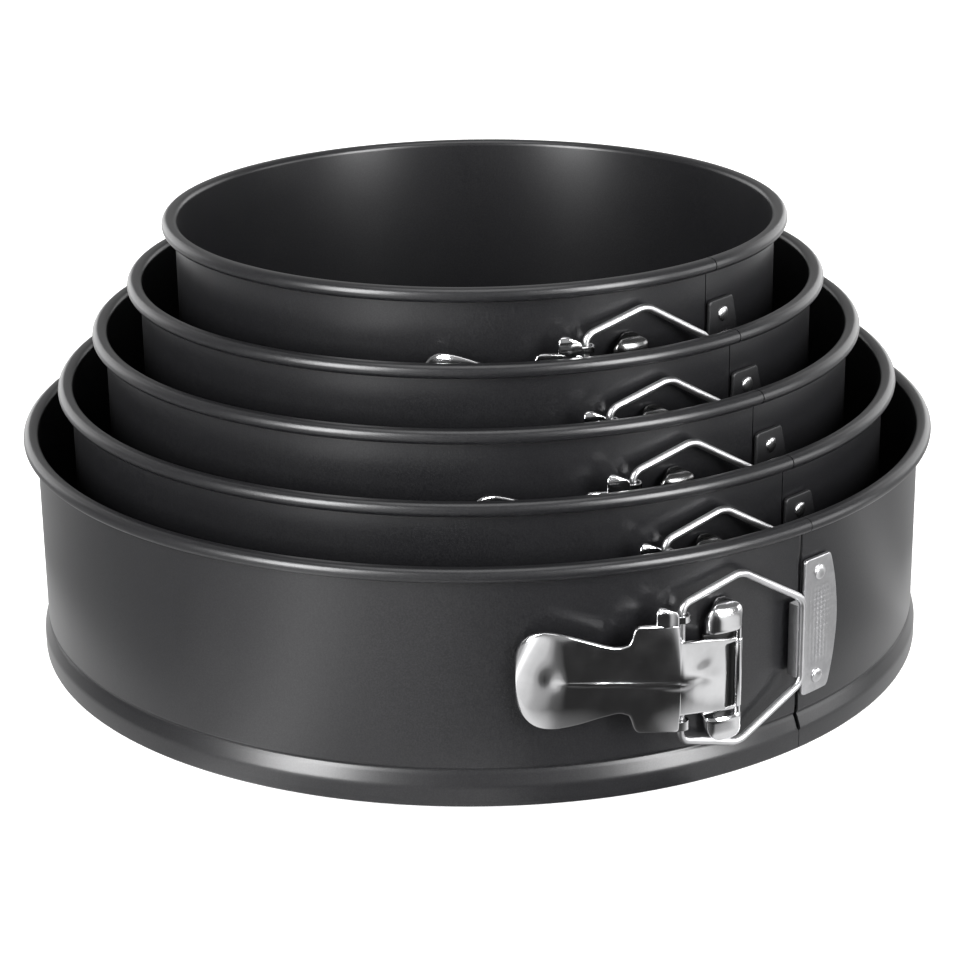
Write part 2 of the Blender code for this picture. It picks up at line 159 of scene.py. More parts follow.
# Relief on the lever's outer face
CROWN_DROP = 0.28
TAB_CROWN_DROP = 0.80
TAB_STARTS_S = -57.0
TAB_GROWS_OVER = 10.0
EDGE_DROP = 0.16
RIDGE_HEIGHT = 0.22
RIDGE_WIDTH = 0.55
RIDGE_S = (-69.0, -36.0)
RIDGE_FADE = (3.0, 4.0)
RIDGE_FALL = 0.064
RIDGE_FALLS_FROM = -65.0
DIMPLE_S = -69.8
DIMPLE_RISE = 1.0
DIMPLE_RADIUS = 2.0
DIMPLE_DEPTH = 0.70
SWIRL_S = -34.0
SWIRL_Z = 31.6
SWIRL_SLOPE = 0.20
SWIRL_RADIUS = 2.1
SWIRL_HEIGHT = 0.62
KNOB_S = -30.6
KNOB_Z = 29.4
KNOB_RADIUS = 1.6
KNOB_HEIGHT = 0.30

# The ear above the lever's wide part, and the two curls that hold the wire
EAR_S = (-45.2, -39.6)
EAR_Z = (44.6, 46.8)
EAR_H = 5.95
EAR_SHEET = 0.7
EAR_FOLD_Z = 48.2
EAR_FOLD = 0.24
EAR_SWELL_S = -42.4
EAR_SWELL = 0.12
CURL_RADIUS = 1.75
CURL_TURN = (112, -150)
CURL_LEAD = [(-42.0, 5.3), (-40.4, 5.5)]
CURL_SHEET = 0.6
CURL_Z = ((45.0, 46.8), (17.2, 19.6))
# How far the ear stands above EAR_Z: (s, rise)
EAR_OUTLINE = (
    (-45.2, 1.4),
    (-44.9, 2.4),
    (-44.2, 2.9),
    (-43.2, 2.8),
    (-41.6, 2.2),
    (-40.6, 1.7),
    (-39.9, 1.0),
    (-39.6, 0.4),
)
# The strap's lugs: (distance from the lever's middle height, height off the strap)
LUG_OUTLINE = (
    (10.4, 0.0),
    (10.9, 2.8),
    (11.8, 3.3),
    (14.6, 3.3),
    (16.6, 2.9),
    (17.8, 1.9),
    (18.9, 0.1),
)
# Catch plate outline: (s, half height)
CATCH_OUTLINE = (
    (0.4, 17.3),
    (0.9, 17.9),
    (2.0, 18.1),
    (9.4, 18.05),
    (10.3, 17.4),
    (11.0, 15.4),
    (12.2, 11.0),
    (13.2, 5.0),
    (13.5, 1.5),
)
# The hook's path, from under the plate to its lip, as (s, h), with an arc between
HOOK_ROOT = [(2.6, 0.95), (0.5, 1.0), (-2.0, 1.05), (-3.8, 1.05)]
HOOK_BEND = ((-3.9, 2.0), 0.95, -85, -180, 8)
HOOK_LIP = [(-4.9, 3.0), (-4.9, 3.6), (-4.8, 4.3)]

# Lever outline, from the tab's tip to the pin: (s, centre z, half height)
LEVER_OUTLINE = (
    (-77.6, 34.1, 4.2),
    (-77.3, 34.1, 6.2),
    (-76.6, 34.1, 8.3),
    (-75.6, 34.1, 9.9),
    (-74.2, 34.1, 11.2),
    (-72.6, 34.1, 12.0),
    (-70.8, 34.1, 12.3),
    (-69.0, 34.0, 12.2),
    (-66.5, 33.9, 11.7),
    (-63.5, 33.7, 10.9),
    (-60.0, 33.5, 9.8),
    (-56.8, 33.2, 8.9),
    (-54.2, 33.0, 8.45),
    (-52.7, 32.8, 8.5),
    (-51.8, 32.7, 9.1),
    (-51.1, 32.6, 10.6),
    (-50.7, 32.6, 12.0),
    (-50.1, 32.5, 13.1),
    (-49.3, 32.4, 13.55),
    (-48.3, 32.3, 13.65),
    (-40.4, 31.2, 13.8),
    (-39.7, 31.1, 13.6),
    (-39.4, 31.0, 12.9),
    (-39.3, 31.0, 10.2),
    (-39.0, 30.9, 9.5),
    (-38.4, 30.8, 9.4),
    (-35.4, 30.3, 9.4),
    (-28.5, 28.9, 9.4),
    (-24.6, 28.1, 9.4),
    (-22.2, 28.0, 9.3),
    (-21.0, 28.0, 9.2),
)
# Height of the lever's outer face off the wall: (s, h)
LEVER_CROWN = (
    (-77.6, 3.1),
    (-76.4, 3.9),
    (-74.5, 4.8),
    (-72.0, 5.65),
    (-69.2, 6.40),
    (-66.0, 6.82),
    (-62.0, 6.84),
    (-56.0, 6.50),
    (-50.0, 6.42),
    (-41.0, 6.42),
    (-39.0, 6.36),
    (-37.6, 6.19),
    (-36.2, 5.93),
    (-33.0, 5.24),
    (-29.5, 4.56),
    (-26.1, 4.12),
    (-24.0, 3.90),
    (-22.0, 3.60),
    (-21.0, 3.35),
)


# Geometry


def on_circle(radius, angle, z):
    return (radius * math.sin(angle), -radius * math.cos(angle), z)


def at(pan, s, h, z):
    """A place on a pan's wall, in metres in the row frame."""
    point = on_circle(pan.wall + h, s / pan.wall + pan.turn, z + pan.lift)
    return [value * MM for value in point]


def smooth_through(knots, x):
    """A curve through (x, y) knots that never overshoots between them."""
    xs = [knot[0] for knot in knots]
    ys = [knot[1] for knot in knots]
    if x <= xs[0]:
        return ys[0]
    if x >= xs[-1]:
        return ys[-1]
    i = bisect.bisect_right(xs, x) - 1
    slopes = [(ys[k + 1] - ys[k]) / (xs[k + 1] - xs[k]) for k in range(len(xs) - 1)]

    def tangent(k):
        if k == 0 or k == len(xs) - 1:
            return slopes[min(k, len(slopes) - 1)]
        before, after = slopes[k - 1], slopes[k]
        return 0.0 if before * after <= 0 else 2 * before * after / (before + after)

    run = xs[i + 1] - xs[i]
    t = (x - xs[i]) / run
    start = (2 * t**3 - 3 * t**2 + 1) * ys[i] + (t**3 - 2 * t**2 + t) * run * tangent(i)
    end = (3 * t**2 - 2 * t**3) * ys[i + 1] + (t**3 - t**2) * run * tangent(i + 1)
    return start + end


def rounded(corners, steps=5):
    """A closed outline from corners (x, y, cut), each turned by an arc that starts `cut` before it."""
    outline = []
    for i, (x, y, cut) in enumerate(corners):
        before = Vector(corners[i - 1][:2])
        after = Vector(corners[(i + 1) % len(corners)][:2])
        corner = Vector((x, y))
        if cut <= 0:
            outline.append((x, y))
            continue
        back = (before - corner).normalized()
        ahead = (after - corner).normalized()
        first = corner + back * min(cut, (before - corner).length * 0.5)
        last = corner + ahead * min(cut, (after - corner).length * 0.5)
        weight = math.cos((math.pi - back.angle(ahead)) / 2)
        for k in range(steps + 1):
            t = k / steps
            a, b, c = (1 - t) ** 2, 2 * weight * t * (1 - t), t**2
            point = (first * a + corner * b + last * c) / (a + b + c)
            outline.append((point.x, point.y))
    return outline


def add_mesh(name, points, faces, material):
    """A smooth-shaded piece from points in metres in the row frame."""
    mesh = bpy.data.meshes.new(name)
    mesh.from_pydata([tuple(p) for p in points], [], faces)
    work = bmesh.new()
    work.from_mesh(mesh)
    bmesh.ops.remove_doubles(work, verts=work.verts, dist=WELD_DISTANCE)
    bmesh.ops.recalc_face_normals(work, faces=work.faces)
    work.to_mesh(mesh)
    work.free()
    mesh.shade_smooth()
    mesh.set_sharp_from_angle(angle=SHARP_ANGLE)
    if material:
        mesh.materials.append(material)
    obj = bpy.data.objects.new(name, mesh)
    bpy.context.scene.collection.objects.link(obj)
    return obj


def loft(rings, closed=False):
    count = len(rings[0])
    points = [point for ring in rings for point in ring]
    faces = []
    for step in range(len(rings) if closed else len(rings) - 1):
        here, there = step * count, ((step + 1) % len(rings)) * count
        for i in range(count):
            j = (i + 1) % count
            faces.append((here + i, here + j, there + j, there + i))
    if not closed:
        faces.append(tuple(range(count)))
        faces.append(tuple(range(len(points) - count, len(points))))
    return points, faces


def combine(target, tool, operation):
    modifier = target.modifiers.new(operation.lower(), "BOOLEAN")
    modifier.operation = operation
    modifier.object = tool
    graph = bpy.context.evaluated_depsgraph_get()
    mesh = bpy.data.meshes.new_from_object(target.evaluated_get(graph))
    target.modifiers.clear()
    target.data = mesh
    bpy.data.objects.remove(tool, do_unlink=True)


def join(target, *others):
    """One object out of several closed shapes."""
    work = bmesh.new()
    work.from_mesh(target.data)
    for other in others:
        work.from_mesh(other.data)
        bpy.data.objects.remove(other, do_unlink=True)
    work.to_mesh(target.data)
    work.free()
    return target


def edge_spacing(low, high, step):
    """Positions from low to high, crowded at both ends so that an edge can be rounded."""
    inner_low, inner_high = low + EDGE_STEPS[-1], high - EDGE_STEPS[-1]
    count = max(2, round((inner_high - inner_low) / step))
    middle = [inner_low + (inner_high - inner_low) * k / count for k in range(1, count)]
    return [low + e for e in EDGE_STEPS] + middle + [high - e for e in reversed(EDGE_STEPS)]


def pressed_sheet(name, columns, rows, height, thickness, place, material, roll=0.45):
    """A pressed sheet as a closed solid.

    Columns are (a, low b, high b), and rows gives the values of b between a low and a high one. Height gives
    the outer face's height at (a, b), and its edge is rolled over by `roll`.
    """
    chain = [(a, low) for a, low, _ in columns] + [(a, high) for a, _, high in reversed(columns)]
    starts = np.array(chain)
    spans = np.roll(starts, -1, axis=0) - starts
    lengths = np.maximum((spans**2).sum(1), 1e-12)
    outer, inner = [], []
    for a, low, high in columns:
        for b in rows(low, high):
            offset = np.array((a, b)) - starts
            share = np.clip((offset * spans).sum(1) / lengths, 0, 1)
            gap = math.sqrt(((offset - share[:, None] * spans) ** 2).sum(1).min())
            short = max(0.0, roll - gap)
            drop = roll - math.sqrt(max(0.0, roll**2 - short**2))
            top = height(a, b)
            outer.append(place(a, b, top - drop))
            inner.append(place(a, b, top - thickness + drop * 0.4))
    count = len(rows(columns[0][1], columns[0][2]))
    total = len(outer)
    faces = []
    for i in range(len(columns) - 1):
        for j in range(count - 1):
            k = i * count + j
            faces.append((k, k + 1, k + count + 1, k + count))
            faces.append((total + k, total + k + count, total + k + count + 1, total + k + 1))
    border = list(range(count))
    border += [i * count + count - 1 for i in range(1, len(columns))]
    border += [(len(columns) - 1) * count + j for j in reversed(range(count - 1))]
    border += [i * count for i in reversed(range(1, len(columns) - 1))]
    for here, there in zip(border, border[1:] + border[:1]):
        faces.append((here, there, total + there, total + here))
    return add_mesh(name, outer + inner, faces, material)


def fixed_rows(count, crowding=1.35, steps=EDGE_STEPS, share=0.3):
    """Rows crowded at both edges and towards the middle, the same number whatever the width."""

    def rows(low, high):
        half = (high - low) / 2
        near = [min(e, half * share * k / (len(steps) - 1)) for k, e in enumerate(steps)]
        reach = half - near[-1]
        middle = []
        for k in range(1, count):
            u = 2 * k / count - 1
            middle.append((low + high) / 2 + math.copysign(abs(u) ** crowding, u) * reach)
        return [low + e for e in near] + middle + [high - e for e in reversed(near)]

    return rows


def strip(name, pan, path, thickness, z_range, material):
    """A strip bent along (s, h) points and running between two heights, with softened ends."""
    soft = STRIP_SOFTENING
    rings = []
    for z, thick in (
        (z_range[0], thickness - 2 * soft),
        (z_range[0] + soft, thickness),
        (z_range[1] - soft, thickness),
        (z_range[1], thickness - 2 * soft),
    ):
        outer, inner = [], []
        for i, (s, h) in enumerate(path):
            before = path[max(0, i - 1)]
            after = path[min(len(path) - 1, i + 1)]
            run, rise = after[0] - before[0], after[1] - before[1]
            size = math.hypot(run, rise)
            normal = (-rise / size * thick / 2, run / size * thick / 2)
            outer.append(at(pan, s + normal[0], h + normal[1], z))
            inner.append(at(pan, s - normal[0], h - normal[1], z))
        rings.append(outer + inner[::-1])
    return add_mesh(name, *loft(rings), material)


def arc(centre, radius, start, end, steps):
    """Points on an arc in the (s, h) plane, angles in degrees from +s towards +h."""
    points = []
    for k in range(steps + 1):
        turn = math.radians(start + (end - start) * k / steps)
        points.append((centre[0] + radius * math.cos(turn), centre[1] + radius * math.sin(turn)))
    return points


def rod(name, centre, axis, stations, sides, material):
    """A turned piece: stations are (distance along the axis, radius), in metres."""
    axis = Vector(axis).normalized()
    side = axis.orthogonal().normalized()
    other = axis.cross(side)
    rings = []
    for along, radius in stations:
        middle = Vector(centre) + axis * along
        rings.append(
            [
                middle + (side * math.cos(turn) + other * math.sin(turn)) * radius
                for turn in (2 * math.pi * k / sides for k in range(sides))
            ]
        )
    return add_mesh(name, *loft(rings), material)


# Materials

# Dark and light colour, and roughness
COATINGS = {
    "band_coating": ((0.006, 0.006, 0.007), (0.015, 0.015, 0.016), 0.30),
    "base_coating": ((0.010, 0.010, 0.011), (0.024, 0.024, 0.026), 0.36),
    # A dark, coating-like copy of the catch plate for the nested pans: painted shade
    "catch_plate_coated": ((0.006, 0.006, 0.007), (0.014, 0.014, 0.015), 0.46),
}
# Dark and light colour, and lowest and highest roughness
BRIGHT_METALS = {
    "bracket_chrome": ((0.66, 0.66, 0.67), (0.78, 0.78, 0.79), 0.10, 0.20),
    # A darker copy of the strap's chrome for the nested pans: painted shade
    "bracket_dark": ((0.12, 0.12, 0.12), (0.20, 0.20, 0.20), 0.16, 0.24),
    "lever_chrome": ((0.70, 0.70, 0.71), (0.80, 0.80, 0.81), 0.07, 0.15),
    "bail_chrome": ((0.52, 0.52, 0.53), (0.62, 0.62, 0.63), 0.30, 0.38),
    "rivet_steel": ((0.52, 0.52, 0.53), (0.66, 0.66, 0.67), 0.24, 0.32),
}
# Painted shade on the outer strap: the height fractions and darkness of its middle, which lies in shade
# behind the lever's tongue
STRAP_SHADE_SPAN = (0.20, 0.765)
STRAP_SHADE_LEVEL = 0.06


def new_material(name, metallic, specular=0.5):
    material = bpy.data.materials.new(name)
    material.use_nodes = True
    nodes, links = material.node_tree.nodes, material.node_tree.links
    shader = nodes["Principled BSDF"]
    shader.inputs["Metallic"].default_value = metallic
    shader.inputs["Specular IOR Level"].default_value = specular
    place = nodes.new("ShaderNodeTexCoord")
    return material, nodes, links, shader, place


def noise(nodes, links, place, scale, detail=4.0, stretch=None):
    source = place.outputs["Object"]
    if stretch:
        mapping = nodes.new("ShaderNodeMapping")
        mapping.inputs["Scale"].default_value = stretch
        links.new(source, mapping.inputs["Vector"])
        source = mapping.outputs["Vector"]
    texture = nodes.new("ShaderNodeTexNoise")
    texture.inputs["Scale"].default_value = scale
    texture.inputs["Detail"].default_value = detail
    links.new(source, texture.inputs["Vector"])
    return texture.outputs["Fac"]


def value_ramp(nodes, links, source, low, high, start, end):
    """Turns a value between low and high into one between start and end."""
    made = nodes.new("ShaderNodeMapRange")
    made.inputs["From Min"].default_value = low
    made.inputs["From Max"].default_value = high
    made.inputs["To Min"].default_value = start
    made.inputs["To Max"].default_value = end
    links.new(source, made.inputs["Value"])
    return made.outputs["Result"]


def colour_ramp(nodes, links, source, low, high, dark, light):
    """Turns a value between low and high into a blend of two colours."""
    made = nodes.new("ShaderNodeValToRGB")
    made.color_ramp.elements[0].position = low
    made.color_ramp.elements[0].color = (*dark, 1)
    made.color_ramp.elements[1].position = high
    made.color_ramp.elements[1].color = (*light, 1)
    links.new(source, made.inputs["Fac"])
    return made.outputs["Color"]


def bump(nodes, links, shader, sources):
    """Chains bumps, each (height, strength, distance in metres), into the shader's normal."""
    normal = None
    for height, strength, distance in sources:
        made = nodes.new("ShaderNodeBump")
        made.inputs["Strength"].default_value = strength
        made.inputs["Distance"].default_value = distance
        links.new(height, made.inputs["Height"])
        if normal:
            links.new(normal, made.inputs["Normal"])
        normal = made.outputs["Normal"]
    links.new(normal, shader.inputs["Normal"])


def coating(name, dark, light, roughness):
    """Satin non-stick coating: a dark film with a fine sparkle, mottling and a slight orange peel."""
    material, nodes, links, shader, place = new_material(name, 0.2, 0.6)
    grain = noise(nodes, links, place, 2600.0, 3.0)
    mottle = noise(nodes, links, place, 34.0, 5.0)
    peel = noise(nodes, links, place, 620.0, 2.0)
    fine = colour_ramp(nodes, links, grain, 0.35, 0.72, dark, light)
    shade = colour_ramp(nodes, links, mottle, 0.3, 0.7, (0.92, 0.92, 0.93), (1.0, 1.0, 1.0))
    gloss = value_ramp(nodes, links, mottle, 0.25, 0.75, roughness - 0.01, roughness + 0.02)
    mix = nodes.new("ShaderNodeMix")
    mix.data_type = "RGBA"
    mix.blend_type = "MULTIPLY"
    mix.inputs["Factor"].default_value = 1.0
    links.new(fine, mix.inputs["A"])
    links.new(shade, mix.inputs["B"])
    links.new(mix.outputs["Result"], shader.inputs["Base Color"])
    links.new(gloss, shader.inputs["Roughness"])
    bump(nodes, links, shader, ((peel, 0.06, 0.00003), (grain, 0.30, 0.00001)))
    return material


def bright_metal(name, dark, light, low, high, scratch=0.15):
    """Plated steel: nearly a mirror, with faint polishing lines, marks and a little unevenness."""
    material, nodes, links, shader, place = new_material(name, 1.0)
    lines = noise(nodes, links, place, 900.0, 3.0, (1.0, 1.0, 0.12))
    patches = noise(nodes, links, place, 160.0, 4.0)
    wave = noise(nodes, links, place, 130.0, 1.0)
    colour = colour_ramp(nodes, links, patches, 0.3, 0.75, dark, light)
    gloss = value_ramp(nodes, links, patches, 0.3, 0.75, low, high)
    links.new(colour, shader.inputs["Base Color"])
    links.new(gloss, shader.inputs["Roughness"])
    bump(nodes, links, shader, ((wave, 0.12, 0.0002), (lines, scratch, 0.00001)))
    return material


def paint_shade_between(material, low, high, dark, roughness=0.5, fade=0.015):
    """Paints shade onto a metal between two fractions of its height, darker and duller there, standing in
    for the shade behind the lever's tongue.
    """
    nodes, links = material.node_tree.nodes, material.node_tree.links
    shader = nodes["Principled BSDF"]
    place = next(n for n in nodes if n.type == "TEX_COORD")
    split = nodes.new("ShaderNodeSeparateXYZ")
    links.new(place.outputs["Generated"], split.inputs["Vector"])
    above = value_ramp(nodes, links, split.outputs["Z"], low - fade, low + fade, 0.0, 1.0)
    below = value_ramp(nodes, links, split.outputs["Z"], high - fade, high + fade, 1.0, 0.0)
    inside = nodes.new("ShaderNodeMath")
    inside.operation = "MULTIPLY"
    links.new(above, inside.inputs[0])
    links.new(below, inside.inputs[1])
    for socket, value in (("Base Color", (dark, dark, dark, 1)), ("Roughness", roughness)):
        source = shader.inputs[socket].links[0].from_socket
        mix = nodes.new("ShaderNodeMix")
        mix.data_type = "RGBA" if socket == "Base Color" else "FLOAT"
        links.new(inside.outputs["Value"], mix.inputs["Factor"])
        links.new(source, mix.inputs["A"])
        mix.inputs["B"].default_value = value
        links.new(mix.outputs["Result"], shader.inputs[socket])
    return material


def dull_steel(name):
    """Zinc-plated sheet: matte, fine-grained, with pits that hold a little dirt."""
    material, nodes, links, shader, place = new_material(name, 1.0)
    grain = noise(nodes, links, place, 1900.0, 4.0)
    patches = noise(nodes, links, place, 260.0, 5.0)
    colour = colour_ramp(nodes, links, patches, 0.3, 0.7, (0.36, 0.36, 0.37), (0.58, 0.58, 0.59))
    gloss = value_ramp(nodes, links, patches, 0.3, 0.7, 0.42, 0.30)
    links.new(colour, shader.inputs["Base Color"])
    links.new(gloss, shader.inputs["Roughness"])
    bump(nodes, links, shader, ((patches, 0.5, 0.0003), (grain, 0.4, 0.00003)))
    return material


# Pieces


def band_outline(inner):
    """The sheet's section with its bead, crease and foot rounded, as (radius, z)."""
    outer = inner + SHEET
    rim = outer + RIM_OVERHANG
    top = PAN_HEIGHT
    foot = outer + FOOT_FLARE
    low = FOOT_CLEARANCE
    corners = (
        (inner, top, 1.5),
        (rim, top, 1.75),
        (rim, top - RIM_DEPTH, 1.75),
        (outer, top - RIM_DEPTH + 0.2, 0.3),
        (outer, CREASE_Z + 0.9, 0.35),
        (outer - CREASE_DEPTH, CREASE_Z + 0.1, 0.3),
        (outer, CREASE_Z - 0.7, 0.3),
        (foot, FOOT_EDGE_Z, 0.7),
        (foot, low, 0.7),
        (inner - FOOT_LIP, low, 0.2),
        (inner - FOOT_LIP, low + SHEET, 0.2),
        (foot - SHEET, low + SHEET, 0.0),
        (foot - SHEET, FOOT_EDGE_Z - 0.2, 0.3),
        (inner - CREASE_DEPTH, CREASE_Z - 0.4, 0.3),
        (inner, CREASE_Z + 1.2, 0.3),
    )
    return rounded(corners)


def band_strip(name, pan, start, end, material, reach_back=0.0, reach_on=0.0):
    """A length of band between two angles from the seam; its bead and foot may reach past its wall."""
    outline = band_outline(pan.inner)
    count = max(2, round((end - start) / (2 * math.pi) * TURN_STEPS))
    rings = []
    for i in range(count + 1):
        angle = start + (end - start) * i / count + pan.turn
        longer = -reach_back if i == 0 else reach_on if i == count else 0.0
        ring = []
        for r, z in outline:
            rolled = z > PAN_HEIGHT - RIM_DEPTH or z < FOOT_EDGE_Z
            turn = angle + (longer if rolled else 0.0)
            ring.append([v * MM for v in on_circle(r, turn, z + pan.lift)])
        rings.append(ring)
    return add_mesh(name, *loft(rings), material)


def seam_tongue(pan, material):
    """The plain end of the strip that tucks inside the other end, past the seam."""
    low = CREASE_Z + TONGUE_INSET
    high = PAN_HEIGHT - RIM_DEPTH - SHEET
    tucked = -SHEET - TONGUE_DROP + SHEET / 2
    path = [
        (SEAM_GAP + 4.5, -SHEET),
        (SEAM_GAP + 1.8, -SHEET),
        (SEAM_GAP + 0.4, -SHEET - 0.5),
        (SEAM_GAP - 0.8, tucked),
    ]
    path += [(-TONGUE_LENGTH * k / 6, tucked) for k in range(1, 7)]
    return strip(f"{pan.name}_tongue", pan, path, SHEET, (low, high), material)


def base_disc(pan, material):
    step = pan.inner - BASE_STEP_INSET
    edge = pan.inner + FOOT_FLARE - GAP
    flange_top = BASE_FLANGE_Z + BASE_SHEET
    corners = (
        (0.01, 0.0, 0.0),
        (step * 0.5, 0.0, 0.0),
        (step, 0.0, 0.4),
        (step + BASE_STEP_RUN, BASE_FLANGE_Z, 0.4),
        (edge, BASE_FLANGE_Z, 0.2),
        (edge, flange_top, 0.2),
        (step + BASE_STEP_RUN - BASE_SHEET, flange_top, 0.4),
        (step - BASE_SHEET, BASE_SHEET, 0.4),
        (step * 0.5, BASE_SHEET, 0.0),
        (0.01, BASE_SHEET, 0.0),
    )
    outline = rounded(corners, 4)
    rings = []
    for i in range(TURN_STEPS // 2):
        angle = 4 * math.pi * i / TURN_STEPS + pan.turn
        rings.append([[v * MM for v in on_circle(r, angle, z + pan.lift)] for r, z in outline])
    return add_mesh(f"{pan.name}_base_plate", *loft(rings, closed=True), material)


def lever_span(s):
    """The lever's middle height and half height at s."""
    centre = smooth_through([(a, c) for a, c, _ in LEVER_OUTLINE], s)
    half = smooth_through([(a, h) for a, _, h in LEVER_OUTLINE], s)
    return centre, half


def lever_columns():
    """Columns along the lever, crowded at its shoulder and at the step to its tongue."""
    tip, shoulder, wide, tongue, root = -77.6, -51.9, -49.0, -38.0, LEVER_OUTLINE[-1][0]
    marks = edge_spacing(tip, shoulder, 0.8)[: -len(EDGE_STEPS)]
    marks += [shoulder + 0.14 * k for k in range(20)]
    marks += [wide + 0.8 * k for k in range(11)]
    marks += [-40.2, -39.9, -39.7, -39.55, -39.45, -39.4, -39.36]
    marks += [-39.3, -39.2, -39.0, -38.7, -38.3, -37.8]
    marks += edge_spacing(tongue, root, 0.6)[len(EDGE_STEPS) + 1 :]
    columns = []
    for s in sorted(set(round(s, 3) for s in marks)):
        centre, half = lever_span(s)
        columns.append((s, centre - half, centre + half))
    return columns


def bell(distance, width):
    return math.exp(-((distance / width) ** 2))


def clamp(value):
    return min(1.0, max(0.0, value))


def lever_height(s, z):
    """The lever's outer face: a crowned tab with a thumb dimple, a ridge, and a swirl on the tongue."""
    centre, half = lever_span(s)
    off = abs(z - centre) / half
    top = smooth_through(LEVER_CROWN, s)
    tab = clamp((TAB_STARTS_S - s) / TAB_GROWS_OVER)
    top -= (CROWN_DROP + TAB_CROWN_DROP * tab) * off**2.6
    top -= EDGE_DROP * off
    ridge = clamp((s - RIDGE_S[0]) / RIDGE_FADE[0]) * clamp((RIDGE_S[1] - s) / RIDGE_FADE[1])
    ridge_z = centre - RIDGE_FALL * max(0.0, s - RIDGE_FALLS_FROM)
    top += RIDGE_HEIGHT * bell(z - ridge_z, RIDGE_WIDTH) * ridge
    from_dimple = math.hypot(s - DIMPLE_S, (z - centre - DIMPLE_RISE) * 0.8)
    top -= DIMPLE_DEPTH * bell(from_dimple, DIMPLE_RADIUS)
    from_swirl = math.hypot((s - SWIRL_S) * 0.6, z - SWIRL_Z - SWIRL_SLOPE * (s - SWIRL_S))
    top += SWIRL_HEIGHT * bell(from_swirl, SWIRL_RADIUS)
    from_knob = math.hypot((s - KNOB_S) * 0.7, z - KNOB_Z)
    top += KNOB_HEIGHT * bell(from_knob, KNOB_RADIUS)
    return top


def upper_ear(pan, material):
    """The ear above the lever's wide part: it leans back over the wire, and its corners are round."""
    low, high = EAR_Z
    columns = [(s, low, high + smooth_through(EAR_OUTLINE, s)) for s in edge_spacing(*EAR_S, 0.4)]

    def height(s, z):
        fold = max(0.0, z - EAR_FOLD_Z)
        return EAR_H - EAR_FOLD * fold**2 + EAR_SWELL * bell(s - EAR_SWELL_S, 1.2)

    def place(s, z, h):
        return at(pan, s, h, z)

    return pressed_sheet("ear", columns, fixed_rows(10), height, EAR_SHEET, place, material, roll=0.3)


def lever(pan, material):
    """The pressed lever with its window, its ear, the two curls round the wire, and its pin."""

    def place(s, z, h):
        return at(pan, s, h, z)

    piece = pressed_sheet(
        f"{pan.name}_lever_pressing",
        lever_columns(),
        fixed_rows(26),
        lever_height,
        LEVER_SHEET,
        place,
        material,
        roll=0.3,
    )
    window = (
        (WINDOW_S[0], WINDOW_Z[0], 0.7),
        (WINDOW_S[1], WINDOW_Z[0], 0.3),
        (WINDOW_S[1], WINDOW_Z[1], 0.3),
        (WINDOW_S[0], WINDOW_Z[1], 0.7),
    )
    rings = [[at(pan, s, h, z) for s, z in rounded(window)] for h in WINDOW_H]
    combine(piece, add_mesh("window", *loft(rings), material), "DIFFERENCE")
    others = [upper_ear(pan, material)]
    curl = CURL_LEAD + arc((PIVOT_S, PIVOT_H), CURL_RADIUS, *CURL_TURN, 16)
    for z_range in CURL_Z:
        others.append(strip("curl", pan, curl, CURL_SHEET, z_range, material))
    middle = at(pan, HINGE_S, HINGE_H, HINGE_Z)
    stations = (
        (-PIN_REACH, PIN_RADIUS * 0.8),
        (-PIN_REACH + 0.2, PIN_RADIUS),
        (-KNUCKLE_REACH - 0.1, PIN_RADIUS),
        (-KNUCKLE_REACH, KNUCKLE_RADIUS * 0.9),
        (-KNUCKLE_REACH + 0.2, KNUCKLE_RADIUS),
        (KNUCKLE_REACH - 0.9, KNUCKLE_RADIUS),
        (KNUCKLE_REACH - 0.7, KNUCKLE_RADIUS * 0.9),
        (KNUCKLE_REACH - 0.6, PIN_RADIUS),
        (PIN_REACH - 0.2, PIN_RADIUS),
        (PIN_REACH, PIN_RADIUS * 0.8),
    )
    others.append(rod("pin", middle, (0, 0, 1), [(a * MM, r * MM) for a, r in stations], 20, material))
    return join(piece, *others)


def bail(pan, material):
    """A closed hexagonal loop of wire that lies in one upright plane."""
    start = Vector(at(pan, PIVOT_S, PIVOT_H, BAIL_CENTRE_Z))
    end = Vector(at(pan, BAIL_END_S, BAIL_END_H, BAIL_CENTRE_Z))
    length = (end - start).length / MM
    along = (end - start).normalized()
    normal = along.cross(Vector((0, 0, 1)))
    upper = ((0.0, BAIL_PIVOT_RISE), (BAIL_APEX_AT * length, BAIL_APEX_RISE), (length, BAIL_END_RISE))
    corners = [(a, b, BAIL_BEND) for a, b in upper]
    corners += [(a, -b, BAIL_BEND) for a, b in reversed(upper)]
    path = rounded(corners, 8)
    count = len(path)
    rings = []
    for i, (a, b) in enumerate(path):
        before, after = path[i - 1], path[(i + 1) % count]
        run, rise = after[0] - before[0], after[1] - before[1]
        size = math.hypot(run, rise)
        side = along * (-rise / size) + Vector((0, 0, 1)) * (run / size)
        middle = start + along * a * MM + Vector((0, 0, b * MM))
        rings.append(
            [
                middle + (side * math.cos(turn) + normal * math.sin(turn)) * WIRE_RADIUS * MM
                for turn in (2 * math.pi * k / WIRE_SIDES for k in range(WIRE_SIDES))
            ]
        )
    return add_mesh(f"{pan.name}_bail_wire", *loft(rings, closed=True), material)


